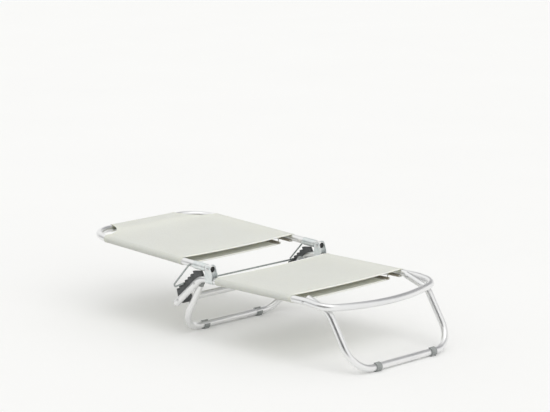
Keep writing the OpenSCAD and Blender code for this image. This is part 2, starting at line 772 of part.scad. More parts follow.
module rear_knuckle_left() color("dimgray") difference() {
    translate(at_x(leg_x, rear_tube_start)) rotate([rear_rake, 0, 0]) {
        cylinder(h = knuckle_len + knuckle_rise, d = tube_d);
        translate([0, 0, knuckle_len + knuckle_rise]) button(tube_d, knuckle_dome);
        translate([0, 0, -knuckle_plug]) cylinder(h = knuckle_plug, r = tube_r - tube_wall - plug_gap);
    }
    rivet_hole(rear_pivot, leg_x - tube_r, leg_x + tube_r, rivet_d);
}
module rear_knuckle_right() mirror([1, 0, 0]) rear_knuckle_left();
module rear_foot_left() color("gray") foot(rear_foot_x, rear_bar, rear_foot_opening);
module rear_foot_right() color("gray") mirror([1, 0, 0]) rear_foot_left();

seat_tube();
rear_crossbar();
crossbar_socket_left();
crossbar_socket_right();
crossbar_screws();
hinge_bracket_left();
hinge_bracket_right();
bracket_rivets();
hinge_pin_left();
hinge_pin_right();
rack_left();
rack_right();
rack_screws();
tail_plugs();
front_leg_rivets();
rear_leg_rivets();
leg_washers();
seat_sling();
seat_hem_rods();
seat_lacing();
backrest_tube();
backrest_sleeve_left();
backrest_sleeve_right();
backrest_plugs();
backrest_sling();
backrest_hem_rods();
backrest_lacing();
strut_wire();
strut_caps();
front_leg_tube();
front_leg_plugs();
front_foot_left();
front_foot_right();
rear_leg_tube();
rear_knuckle_left();
rear_knuckle_right();
rear_foot_left();
rear_foot_right();
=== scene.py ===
"""Looks of the folding beach chair: fabric slings, finishes, camera and studio.

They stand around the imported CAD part. Lengths are metres in the part's frame: X across,
Y from foot to head, Z up.
"""

import json
import math

import bpy
import numpy as np
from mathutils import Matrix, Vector


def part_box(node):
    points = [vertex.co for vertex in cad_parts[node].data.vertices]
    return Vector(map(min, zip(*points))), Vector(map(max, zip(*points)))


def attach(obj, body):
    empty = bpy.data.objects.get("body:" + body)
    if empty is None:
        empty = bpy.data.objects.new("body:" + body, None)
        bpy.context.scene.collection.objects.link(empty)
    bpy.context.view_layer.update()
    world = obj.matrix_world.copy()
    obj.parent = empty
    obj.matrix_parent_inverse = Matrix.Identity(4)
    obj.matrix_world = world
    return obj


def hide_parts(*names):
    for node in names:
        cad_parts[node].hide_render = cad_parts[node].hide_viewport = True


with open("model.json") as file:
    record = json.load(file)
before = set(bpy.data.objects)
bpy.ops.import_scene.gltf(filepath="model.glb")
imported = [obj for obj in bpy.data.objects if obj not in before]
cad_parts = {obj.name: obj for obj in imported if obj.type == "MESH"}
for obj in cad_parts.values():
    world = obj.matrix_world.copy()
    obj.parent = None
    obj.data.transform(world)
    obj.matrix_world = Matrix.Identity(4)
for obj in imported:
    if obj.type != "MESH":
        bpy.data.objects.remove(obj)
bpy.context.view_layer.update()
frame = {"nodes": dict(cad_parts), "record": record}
MM = 0.001
UNIT = (0, 1)

# Camera: its lens and sensor are in millimetres
CAMERA_PLACE = (-6.017, -5.9199, 2.144)
CAMERA_TARGET = (-0.876, -0.8939, 0.7086)
LENS = 157.1
SENSOR_WIDTH = 36
CAMERA_REACH = 200

# World: its light on surfaces, and its brightness where it is seen, mirrored or looked through to
WORLD_COLOUR = (0.965, 0.965, 0.955, 1)
WORLD_LIGHT = 0.79
WORLD_SHOWN = 1.0

# Floor: the two tones that it shows, and the one with which it lights the chair
FLOOR_REACH = 60
FLOOR_TONES = (0.960, 0.960, 0.953, 1), (0.980, 0.980, 0.973, 1)
FLOOR_BOUNCE = (0.68, 0.68, 0.67, 1)
FLOOR_CLOUDS = 1.3

# Panels that only reflections see: distance, lower edge, number of faces, and blue against grey
PANEL_REACH = 4.0
PANEL_FOOT = 0.2
PANEL_ACROSS = 10
PANEL_UP = 4
PANEL_BLUE = 1.02

# Noise: strength of its finer layers, and the parts of its values that materials stretch to 0 to 1
NOISE_ROUGHNESS = 0.55
NOISE_SPREAD = (0.3, 0.7)
RUB_SPREAD = (0.45, 0.8)
DUST_SPREAD = (0.35, 0.7)
FABRIC_SPREAD = (0.15, 0.85)

# The mix node's colour inputs and colour output, by number because other sockets share their names
MIX_A, MIX_B = 6, 7
MIX_RESULT = 2

# Marks in metal and plastic, and how far a plastic's roughness lies below and above its own value
RUB_FINENESS = 8
RUB_ROUGHNESS = 0.06
PLASTIC_CLOUDS = 60
PLASTIC_GRAIN = 2200
PLASTIC_GRAIN_DEPTH = 0.00004
PLASTIC_ROUGH_STEPS = -0.06, 0.1

# Marks in the sewing thread and in the elastic cord
THREAD_CLOUDS = 1500
THREAD_GLOSS_CLOUDS = 900
THREAD_GRAIN = 3000
THREAD_GRAIN_DEPTH = 0.00005
BRAID_SCALE = 420.0
BRAID_DEPTH = 0.0002

# Weave: pitch of the threads, noise along them, and the shares of each in the tone
WEAVE_PITCH = 1.5 * MM
WEAVE_TONE = 0.5
SLUB_SCALE = (700, 25, 0)
SLUB_TONE = 0.3
SLUB_HEIGHT = 0.4
SOIL_CLOUDS = 6
SOIL_TONE = 0.2
# The rolled hems' weave dips darker; the hems themselves are painted darker, partly a darker hem
# tape and partly painted shade
ROLLED_HEM_WEAVE_DIP = 0.8
WEAVE_DEPTH = 0.00012
WEAVE_STRENGTH = 0.6

# Shading of the CAD's solids: seams closer than the gap are welded, sharper edges are kept
WELD_GAP = 0.00002
SHARP_ANGLE = math.radians(35)

# Driving sizes of the chair, which the frame's boxes don't tell
TUBE_R = 12.5 * MM
BACK_TILT = math.radians(2.9)
LACE_R = 1.75 * MM
LACE_SPANS = 10
LACE_INSET = 15 * MM
BACK_START = 137 * MM
SLEEVE_LEN = 410 * MM
HEAD_SLEEVE_HALF = 160 * MM
BITE_R = 130 * MM

# The fabric: thickness, the rolled lip and the folded band at its free edges, sag, hems, thread
CLOTH_T = 1.0 * MM
BEAD_T = 4.6 * MM
BAND_SHARE = 0.28
BAND_T = CLOTH_T + (BEAD_T - CLOTH_T) * BAND_SHARE
WRAP_R = TUBE_R + 1.05 * MM
SAG = 6 * MM
UNDER_SAG = 0.4 * SAG
END_SAG_LOSS = 0.3
HEAD_FLAP = 46 * MM
HEAD_STRIP = 10 * MM
STITCH_LINE = 10 * MM
THREAD_R = 0.28 * MM
RIM_R = 0.3 * MM
RIM_ANGLE = math.radians(60)

# Share of the full hem thickness at distances from a free edge: a rolled lip, a band of folded
# cloth, the single cloth. The lip's share also paints it paler, partly painted highlight. Cloth
# rolled round a hem rod has a mark instead of a share; the fabric paints it darker, partly a
# darker hem tape and partly painted shade of the rolls under the sling.
HEM_STEPS = (0, 0.6 * MM, 1.8 * MM, 4 * MM, 6 * MM, 13 * MM, 15 * MM)
HEM_SHARES = (0.55, 0.85, 1, 1, BAND_SHARE, BAND_SHARE, 0)
ROLLED = -1

# The lip grows over a length beside the rail, and starts this many lengths from its centre line
LIP_FADE = 12 * MM
LIP_START = 0.5

# Section of a sling: points of its strip, rolls and wraps, and the angles where these end
STRIP_POINTS = 2
STRIP_WIDTH = 12 * MM
FOLD_LIFT = 1.3 * CLOTH_T
ROLL_POINTS = 17
FAR_ROLL_TURN = 280
WRAP_POINTS = 14
WRAP_END = 78
NEAR_EASE = 4 * MM
NEAR_EASE_DROP = 0.1 * MM
FAR_EASE = 5 * MM
FLAT_MARGIN = 0.2 * MM
CLOTH_PITCH = 8 * MM

# Columns of a sling's top, as shares of its half width, closer together at the rails
EDGE_SHARES = (0.003, 0.009, 0.018, 0.028, 0.040, 0.052, 0.062, 0.074, 0.086)
INNER_SHARE = 0.89
INNER_POINTS = 59
TOP_SHARES = sorted(
    [-1 + s for s in EDGE_SHARES] + [-1.0, 1.0] + [1 - s for s in EDGE_SHARES]
    + [float(x) for x in np.linspace(-INNER_SHARE, INNER_SHARE, INNER_POINTS)]
)

# Rows of a sling, as distances from its two ends, closer together at the hems
END_ROWS = [0, 0.6 * MM, 1.8 * MM, 4 * MM, 6 * MM, 9.5 * MM, 13 * MM, 15 * MM, 18 * MM]
FIRST_INNER_ROW = 24 * MM

# Rows of the backrest sling's head: its panel, its sleeve in degrees, and the flap under it
PANEL_ROWS = 20
PANEL_BOW = 3
SLEEVE_TURN = 12
FLAP_ROWS = 5
FLAP_ROW_PITCH = 9 * MM
FLAP_GAP = 1.5 * CLOTH_T

# Stitches: each ring of a loop has its share of the length, its share of the thread's radius and
# how far it sinks, in radii
STITCH_PITCH = 4 * MM
STITCH_SHARE = 0.7
STITCH_RINGS = ((0, 0.45, 0.9), (0.2, 1, 0), (0.8, 1, 0), (1, 0.45, 0.9))
STITCH_SIDES = 6
STITCH_RISE = 0.35
HEM_STITCH_RUN = 6 * MM
HEM_STITCH_DROP = 0.2 * MM
HEM_STITCH_INSET = 3 * MM
STRAIGHT_POINTS = 24
BITE_POINTS = 60
HEAD_SEAM_POINTS = 40

# Wire rings that tie the lacing to the hems
RING_WIRE_R = 0.6 * MM
RING_GAP = 0.1 * MM
RING_POINTS = 28
RING_SIDES = 8
RING_POWER = 0.8
LACE_GAP = 0.3 * MM
LACE_TURN_DEPTH = 1.7 * MM

# Places taken from the frame
RAIL_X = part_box("seat_tube")[1].x - TUBE_R
PIN = sum(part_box("hinge_pin_left"), Vector()) / 2
SEAT_LOW, SEAT_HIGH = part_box("seat_sling")
RAIL_Z = (SEAT_LOW.z + SEAT_HIGH.z) / 2
SEAT_LEN = SEAT_HIGH.y - SEAT_LOW.y
CLOTH_OUT = (SEAT_HIGH.z - SEAT_LOW.z) / 2
ROD_LOW, ROD_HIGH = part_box("seat_hem_rods")
ROD_R = (ROD_HIGH.z - ROD_LOW.z) / 2
ROD_PLAY = 0.05 * MM
NEAR_HEM_X = ROD_LOW.x + ROD_R
FAR_HEM_X = ROD_HIGH.x - ROD_R
HEM_DROP = RAIL_Z - (ROD_HIGH.z + ROD_LOW.z) / 2
HEM_ROLL_R = ROD_R + ROD_PLAY + CLOTH_T / 2

# Directions and places of the backrest, with runs measured from its sling's lower edge
ALONG_BACK = Vector((0, math.cos(BACK_TILT), math.sin(BACK_TILT)))
OFF_BACK = Vector((0, -math.sin(BACK_TILT), math.cos(BACK_TILT)))
BACK_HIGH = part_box("backrest_sling")[1]
HEAD_RUN = (Vector((0, BACK_HIGH.y, BACK_HIGH.z)) - Vector((0, PIN.y, PIN.z))).dot(ALONG_BACK)
HEAD_RISE = HEAD_RUN - CLOTH_OUT * (ALONG_BACK.y + ALONG_BACK.z) - BACK_START
BITE_CHORD = Vector((HEAD_SLEEVE_HALF - RAIL_X, HEAD_RISE - SLEEVE_LEN))
BITE_CENTRE = (
    Vector((RAIL_X, SLEEVE_LEN)) + BITE_CHORD / 2
    + Vector((BITE_CHORD.y, -BITE_CHORD.x)).normalized()
    * math.sqrt(BITE_R ** 2 - BITE_CHORD.length_squared / 4)
)


# Node trees


class Nodes:
    """Adds nodes to a tree and joins them."""

    def __init__(self, tree):
        self.tree = tree

    def feed(self, socket, value):
        """Links a socket to an output, or sets it to a constant."""
        if isinstance(value, bpy.types.NodeSocket):
            self.tree.links.new(value, socket)
        else:
            socket.default_value = value

    def feed_all(self, node, sockets):
        """Feeds a node's inputs by name, with _ for a space."""
        for key, value in sockets.items():
            self.feed(node.inputs[key.replace("_", " ")], value)

    def node(self, kind, **sockets):
        """A new node with its inputs fed by name."""
        made = self.tree.nodes.new(kind)
        self.feed_all(made, sockets)
        return made

    def ranged(self, value, source, target):
        """A value moved from one range to another, and held inside it."""
        made = self.node("ShaderNodeMapRange", Value=value, From_Min=source[0],
                         From_Max=source[1], To_Min=target[0], To_Max=target[1])
        return made.outputs["Result"]

    def maths(self, operation, a, b=0.0):
        """The result of an operation on one or two values."""
        made = self.tree.nodes.new("ShaderNodeMath")
        made.operation = operation
        self.feed(made.inputs[0], a)
        self.feed(made.inputs[1], b)
        return made.outputs[0]


class Maker(Nodes):
    """Builds one node material step by step."""

    def __init__(self, name):
        self.material = bpy.data.materials.new(name)
        self.material.use_nodes = True
        super().__init__(self.material.node_tree)
        self.bsdf = self.tree.nodes["Principled BSDF"]
        self.place = self.tree.nodes.new("ShaderNodeTexCoord").outputs["Object"]

    def shader(self, **sockets):
        """Feeds the inputs of the material's shader by name."""
        self.feed_all(self.bsdf, sockets)

    def noise(self, scale, detail=3, place=None):
        """Noise from 0 to 1, scale in features a metre."""
        made = self.node("ShaderNodeTexNoise", Vector=place or self.place, Scale=scale,
                         Detail=detail, Roughness=NOISE_ROUGHNESS)
        return made.outputs["Fac"]

    def mix(self, share, a, b):
        """Colour a, passing into colour b as the share grows."""
        made = self.tree.nodes.new("ShaderNodeMix")
        made.data_type = "RGBA"
        self.feed(made.inputs["Factor"], share)
        self.feed(made.inputs[MIX_A], a)
        self.feed(made.inputs[MIX_B], b)
        return made.outputs[MIX_RESULT]

    def bump(self, height, distance, strength=1.0):
        """Fine relief from a height of 0 to 1, times a distance."""
        made = self.node("ShaderNodeBump", Height=height, Distance=distance, Strength=strength)
        self.tree.links.new(made.outputs["Normal"], self.bsdf.inputs["Normal"])


# Camera and studio


def aim(obj, place, target):
    """Puts an object at a place, looking at a target."""
    obj.location = place
    obj.rotation_mode = "QUATERNION"
    obj.rotation_quaternion = (Vector(target) - Vector(place)).to_track_quat("-Z", "Y")


def add_camera():
    """The photograph's view: a long lens, low over the foot end's right side."""
    data = bpy.data.cameras.new("camera")
    data.sensor_width = SENSOR_WIDTH
    data.lens = LENS
    data.clip_end = CAMERA_REACH
    camera = bpy.data.objects.new("camera", data)
    bpy.context.scene.collection.objects.link(camera)
    aim(camera, CAMERA_PLACE, CAMERA_TARGET)
    bpy.context.scene.camera = camera


def add_sun(name, strength, spread, direction, mirrored=True):
    """A soft lamp that fills some degrees of the sky. The metal shows it only if mirrored."""
    data = bpy.data.lights.new(name, "SUN")
    data.energy = strength
    data.angle = math.radians(spread)
    lamp = bpy.data.objects.new(name, data)
    lamp.visible_glossy = mirrored
    bpy.context.scene.collection.objects.link(lamp)
    aim(lamp, direction, (0, 0, 0))


def add_world():
    """Even pale light all round, seen as a near-white background."""
    world = bpy.data.worlds.new("studio")
    bpy.context.scene.world = world
    world.use_nodes = True
    n = Nodes(world.node_tree)
    path = n.node("ShaderNodeLightPath")
    seen = n.maths("MAXIMUM", path.outputs["Is Camera Ray"], path.outputs["Is Glossy Ray"])
    clear = n.maths("MAXIMUM", seen, path.outputs["Is Transmission Ray"])
    strength = n.ranged(clear, UNIT, (WORLD_LIGHT, WORLD_SHOWN))
    n.feed_all(n.tree.nodes["Background"], {"Color": WORLD_COLOUR, "Strength": strength})


def plain_mesh(name, points, faces):
    """A mesh object from points and faces, linked to the scene."""
    mesh = bpy.data.meshes.new(name)
    mesh.from_pydata([tuple(p) for p in points], [], faces)
    mesh.update()
    obj = bpy.data.objects.new(name, mesh)
    bpy.context.scene.collection.objects.link(obj)
    return obj


def add_floor():
    """A wide pale floor with a faint unevenness in its tone."""
    r = FLOOR_REACH
    corners = [(-r, -r, 0), (r, -r, 0), (r, r, 0), (-r, r, 0)]
    obj = plain_mesh("floor", corners, [(0, 1, 2, 3)])
    m = Maker("floor_paint")
    path = m.node("ShaderNodeLightPath")
    shown = m.mix(m.noise(FLOOR_CLOUDS, detail=2), *FLOOR_TONES)
    m.shader(Base_Color=m.mix(path.outputs["Is Diffuse Ray"], shown, FLOOR_BOUNCE),
             Roughness=0.9, Specular_IOR_Level=0.1)
    obj.data.materials.append(m.material)


def add_panel(name, tone, azimuths, heights):
    """A glowing panel round the chair that only reflections see.

    It reaches between two azimuths and two heights in degrees.
    """
    points, faces = [], []
    for height in np.radians(np.linspace(heights[0], heights[1], PANEL_UP + 1)):
        flat = PANEL_REACH * math.cos(height)
        rise = PANEL_FOOT + PANEL_REACH * math.sin(height)
        for azimuth in np.radians(np.linspace(azimuths[0], azimuths[1], PANEL_ACROSS + 1)):
            points.append((flat * math.cos(azimuth), flat * math.sin(azimuth), rise))
    row = PANEL_ACROSS + 1
    for j in range(PANEL_UP):
        for i in range(PANEL_ACROSS):
            a = j * row + i
            faces.append((a, a + 1, a + row + 1, a + row))
    obj = plain_mesh(name, points, faces)
    m = Maker(name + "_paint")
    m.shader(Base_Color=(0, 0, 0, 1), Roughness=1, Specular_IOR_Level=0,
             Emission_Color=(tone, tone, tone * PANEL_BLUE, 1), Emission_Strength=1)
    obj.data.materials.append(m.material)
    obj.visible_camera = False
    obj.visible_diffuse = False
    obj.visible_shadow = False
    obj.visible_transmission = False


# Materials


def metal(name, dark, light, cloud, rough, grain, depth):
    """Metal whose tone and roughness drift in soft clouds, with fine marks in its surface.

    Clouds and grain are features a metre, and depth is the height of the marks.
    """
    m = Maker(name)
    drift = m.ranged(m.noise(cloud, detail=4), NOISE_SPREAD, UNIT)
    rub = m.ranged(m.noise(cloud * RUB_FINENESS, detail=5), RUB_SPREAD, UNIT)
    roughness = m.maths("ADD", m.ranged(drift, UNIT, rough),
                        m.maths("MULTIPLY", rub, RUB_ROUGHNESS))
    m.shader(Metallic=1.0, Base_Color=m.mix(drift, dark, light), Roughness=roughness)
    m.bump(m.maths("ADD", m.noise(grain, detail=2), rub), depth)
    return m.material


def plastic(name, dark, light, rough=0.5):
    """Moulded plastic with a fine grain and a little dust in its tone."""
    m = Maker(name)
    dust = m.ranged(m.noise(PLASTIC_CLOUDS, detail=5), DUST_SPREAD, UNIT)
    grains = m.noise(PLASTIC_GRAIN)
    roughness = m.ranged(grains, NOISE_SPREAD, [rough + step for step in PLASTIC_ROUGH_STEPS])
    m.shader(Base_Color=m.mix(dust, dark, light), Roughness=roughness, Specular_IOR_Level=0.45)
    m.bump(grains, PLASTIC_GRAIN_DEPTH)
    return m.material


def woven(name, dark, light, edge, hem_tape_and_shade):
    """Coated mesh fabric: round threads that cross over and under, in the cloth's flat places.

    The third flat coordinate is 1 on the lip of a free edge, which is painted paler: partly a paler
    lip, partly painted highlight where the edge faces the light. It is -1 on the rolled rod hems,
    which are painted darker: partly a darker hem tape, partly painted shade of the rolls under the
    sling.
    """
    m = Maker(name)
    flat = m.node("ShaderNodeAttribute")
    flat.attribute_name = "flat_place"
    parts = m.node("ShaderNodeSeparateXYZ", Vector=flat.outputs["Vector"])
    turn = 2 * math.pi / WEAVE_PITCH
    u = m.maths("SINE", m.maths("MULTIPLY", parts.outputs["X"], turn))
    v = m.maths("SINE", m.maths("MULTIPLY", parts.outputs["Y"], turn))
    weave = m.ranged(m.maths("MULTIPLY", u, v), (-1, 1), UNIT)
    along = m.node("ShaderNodeMapping", Vector=flat.outputs["Vector"], Scale=SLUB_SCALE)
    slubs = m.noise(1.0, detail=4, place=along.outputs["Vector"])
    soil = m.noise(SOIL_CLOUDS, detail=5)
    marks = m.maths("ADD", m.maths("MULTIPLY", slubs, SLUB_TONE),
                    m.maths("MULTIPLY", soil, SOIL_TONE))
    tone = m.maths("ADD", m.maths("MULTIPLY", weave, WEAVE_TONE), marks)
    cloth = m.mix(m.ranged(tone, FABRIC_SPREAD, UNIT), dark, light)
    # The free edges' lip is painted paler: partly a paler lip, partly painted highlight where the
    # edge faces the light
    cloth_and_lip_highlight = m.mix(m.maths("MAXIMUM", parts.outputs["Z"]), cloth, edge)
    # The rolled hems are painted darker: partly a darker hem tape, partly painted shade of the
    # rolls under the sling
    rolled_hem_weave_dip = [ROLLED_HEM_WEAVE_DIP * c for c in hem_tape_and_shade[:3]] + [1]
    hem_tape_and_shade_share = m.maths("MAXIMUM", m.maths("MULTIPLY", parts.outputs["Z"], -1.0))
    m.shader(
        Base_Color=m.mix(hem_tape_and_shade_share, cloth_and_lip_highlight, m.mix(weave, rolled_hem_weave_dip, hem_tape_and_shade)),
        Roughness=m.ranged(weave, UNIT, (0.75, 0.6)), Specular_IOR_Level=0.3,
        Sheen_Weight=0.12, Sheen_Roughness=0.4, Subsurface_Weight=0.7,
        Subsurface_Radius=(1.0, 0.97, 0.85), Subsurface_Scale=3.5 * MM,
    )
    relief = m.maths("ADD", weave, m.maths("MULTIPLY", slubs, SLUB_HEIGHT))
    m.bump(relief, WEAVE_DEPTH, WEAVE_STRENGTH)
    return m.material


def thread_material():
    """Twisted sewing thread."""
    m = Maker("thread")
    clouds = m.noise(THREAD_CLOUDS, detail=2)
    gloss = m.noise(THREAD_GLOSS_CLOUDS, detail=2)
    m.shader(Base_Color=m.mix(clouds, (0.68, 0.68, 0.61, 1), (0.84, 0.84, 0.78, 1)),
             Roughness=m.ranged(gloss, NOISE_SPREAD, (0.55, 0.75)))
    m.bump(m.noise(THREAD_GRAIN, detail=2), THREAD_GRAIN_DEPTH)
    return m.material


def braided():
    """Elastic cord with its braided cover."""
    m = Maker("elastic_cord")
    braid = m.node("ShaderNodeTexWave", Vector=m.place, Scale=BRAID_SCALE, Distortion=1.5)
    wave = braid.outputs["Fac"]
    m.shader(Base_Color=m.mix(wave, (0.60, 0.60, 0.57, 1), (0.83, 0.83, 0.80, 1)),
             Roughness=m.ranged(wave, UNIT, (0.8, 0.6)))
    m.bump(wave, BRAID_DEPTH)
    return m.material


def finishes():
    """One material for each of the record's slots."""
    return {
        "aluminium_tube": metal(
            "aluminium", dark=(0.83, 0.835, 0.84, 1), light=(0.90, 0.90, 0.895, 1),
            cloud=9, rough=(0.29, 0.35), grain=400, depth=0.0000015),
        "zinc_steel": metal(
            "zinc", dark=(0.68, 0.735, 0.735, 1), light=(0.86, 0.885, 0.88, 1),
            cloud=60, rough=(0.32, 0.44), grain=900, depth=0.000006),
        # The strut steel's tone is set darker than the steel itself: painted shade standing in for
        # the dark surroundings that the wire reflects
        "strut_steel": metal(
            "strut_steel", dark=(0.33, 0.37, 0.365, 1), light=(0.50, 0.53, 0.52, 1),
            cloud=50, rough=(0.34, 0.46), grain=900, depth=0.000006),
        "fastener_steel": metal(
            "fastener", dark=(0.62, 0.63, 0.63, 1), light=(0.82, 0.82, 0.82, 1),
            cloud=180, rough=(0.26, 0.4), grain=1500, depth=0.000006),
        "dark_plastic": plastic(
            "dark_plastic", dark=(0.070, 0.075, 0.076, 1), light=(0.115, 0.120, 0.121, 1)),
        "black_plastic": plastic(
            "black_plastic", dark=(0.008, 0.008, 0.009, 1), light=(0.018, 0.018, 0.019, 1),
            rough=0.42),
        "foot_plastic": plastic(
            "foot_plastic", dark=(0.27, 0.285, 0.28, 1), light=(0.36, 0.375, 0.37, 1),
            rough=0.55),
        "pale_plastic": plastic(
            "pale_plastic", dark=(0.66, 0.66, 0.63, 1), light=(0.76, 0.76, 0.73, 1), rough=0.4),
        # The edge colour paints the free edges' lip paler, partly painted highlight; the hem colour
        # paints the rolled hems darker, partly a darker hem tape and partly painted shade
        "sling_fabric": woven(
            "sling_fabric", dark=(0.65, 0.66, 0.585, 1), light=(0.82, 0.83, 0.755, 1),
            edge=(0.93, 0.93, 0.90, 1), hem_tape_and_shade=(0.36, 0.33, 0.27, 1)),
        "elastic_cord": braided(),
    }


# Slings


def arc(centre, radius, start, end, count):
    """Points of an arc in degrees, both ends included."""
    return [
        (centre[0] + radius * math.cos(angle), centre[1] + radius * math.sin(angle))
        for angle in (math.radians(a) for a in np.linspace(start, end, count))
    ]


def level(x0, x1, rise):
    """Points of a level stretch without its two ends."""
    count = max(2, round(abs(x1 - x0) / CLOTH_PITCH))
    return [(x0 + (x1 - x0) * k / count, rise) for k in range(1, count)]


def sling_profile():
    """Middle line of a sling's fabric across the chair, as (x, rise) points.

    It runs from the near hem round both rails to the far hem. Returned with it are the flat
    distance of each point, and the first and last index of the top.
    """
    roll = HEM_ROLL_R
    fold_rise = -WRAP_R + FOLD_LIFT
    fold_angle = 180 - math.degrees(math.asin((fold_rise + HEM_DROP) / roll))
    strip_end = NEAR_HEM_X - roll - STRIP_WIDTH
    points = [(strip_end, fold_rise), (NEAR_HEM_X - roll - STRIP_WIDTH / 2, fold_rise)]
    points += arc((NEAR_HEM_X, -HEM_DROP), roll, fold_angle, -90, ROLL_POINTS)
    points += [(NEAR_HEM_X - NEAR_EASE, -WRAP_R - NEAR_EASE_DROP)]
    points += level(NEAR_HEM_X - 2 * NEAR_EASE, -RAIL_X, -WRAP_R)
    points += arc((-RAIL_X, 0), WRAP_R, -90, -180 - WRAP_END, WRAP_POINTS)
    first = len(points)
    points += [(s * RAIL_X, WRAP_R) for s in TOP_SHARES]
    last = len(points) - 1
    points += arc((RAIL_X, 0), WRAP_R, WRAP_END, -90, WRAP_POINTS)
    points += [(RAIL_X - FAR_EASE, -WRAP_R)]
    points += arc((FAR_HEM_X, -HEM_DROP), roll, -90, -90 - FAR_ROLL_TURN, ROLL_POINTS)
    steps = [math.dist(a, b) for a, b in zip(points, points[1:])]
    return points, [0.0] + list(np.cumsum(steps)), first, last


PROFILE, FLAT_U, TOP_FIRST, TOP_LAST = sling_profile()


def stations(length):
    """Distances along a sling at which its section is repeated."""
    count = round(length / CLOTH_PITCH)
    inner = np.linspace(FIRST_INNER_ROW, length - FIRST_INNER_ROW, count)
    return END_ROWS + [float(x) for x in inner] + [length - x for x in reversed(END_ROWS)]


def droop(share, run, length, depth):
    """How far the taut fabric sinks between the rails, at a share of the half width."""
    middle = 1 - END_SAG_LOSS * (2 * run / length - 1) ** 2
    return depth * middle * (1 - share * share)


def seat_point(x, run, rise):
    """A place by its distance from the seat sling's foot edge and its rise over the rails."""
    return Vector((x, SEAT_LOW.y + run, RAIL_Z + rise))


def back_point(x, run, rise):
    """A place by its distance from the backrest sling's lower edge and its rise."""
    return Vector((x, PIN.y, PIN.z)) + ALONG_BACK * (BACK_START + run) + OFF_BACK * rise


def wrapped_row(run, length):
    """Section of the part that wraps both rails, as (x, rise) points."""
    row = []
    for i, (x, rise) in enumerate(PROFILE):
        if TOP_FIRST <= i <= TOP_LAST:
            rise -= droop(x / RAIL_X, run, length, SAG)
        elif i < TOP_FIRST and rise < -WRAP_R + FLAT_MARGIN and abs(x) < RAIL_X:
            across = abs((x + RAIL_X) / (NEAR_HEM_X + RAIL_X) * 2 - 1)
            rise -= droop(min(1, across), run, length, UNDER_SAG)
        row.append((x, rise))
    return row


def hem_share(distance):
    """Share of the full hem thickness at a distance from a free edge."""
    return float(np.interp(distance, HEM_STEPS, HEM_SHARES))


def wrap_share(i, x, edge):
    """Hem share on the part that wraps the rails: no lip where it lies on a tube or rod."""
    # The rolled hems get the mark that the fabric paints darker: partly a darker hem tape, partly
    # painted shade
    if i < STRIP_POINTS + ROLL_POINTS + 1 or i >= len(PROFILE) - ROLL_POINTS:
        return ROLLED
    free = min(1.0, max(0.0, (RAIL_X - abs(x)) / LIP_FADE - LIP_START))
    share = hem_share(edge)
    return min(share, BAND_SHARE) + free * max(0.0, share - BAND_SHARE)


def bite_distance(x, run):
    """Distance of a place on the backrest's panel from the nearer head corner's cut-out."""
    return math.dist((abs(x), run), BITE_CENTRE) - BITE_R


def bite_angles():
    """Start and end angle of a cut-out's arc, from the rail's sleeve to the head bar's."""
    start = Vector((RAIL_X, SLEEVE_LEN)) - BITE_CENTRE
    end = Vector((HEAD_SLEEVE_HALF, HEAD_RISE)) - BITE_CENTRE
    return math.atan2(start.y, start.x), math.atan2(end.y, end.x)


def bite_point(share, radius):
    """A place (x, run) on an arc round the right head corner's cut-out."""
    start, end = bite_angles()
    angle = start + (end - start) * share
    return BITE_CENTRE.x + radius * math.cos(angle), BITE_CENTRE.y + radius * math.sin(angle)


def panel_rise(x, run):
    """Height of the backrest panel's middle line."""
    fade = min(1.0, max(0.0, (HEAD_RISE - run) / (HEAD_RISE - SLEEVE_LEN)))
    share = min(1.0, abs(x) / RAIL_X)
    return WRAP_R - droop(share, min(run, SLEEVE_LEN), SLEEVE_LEN, SAG) * fade


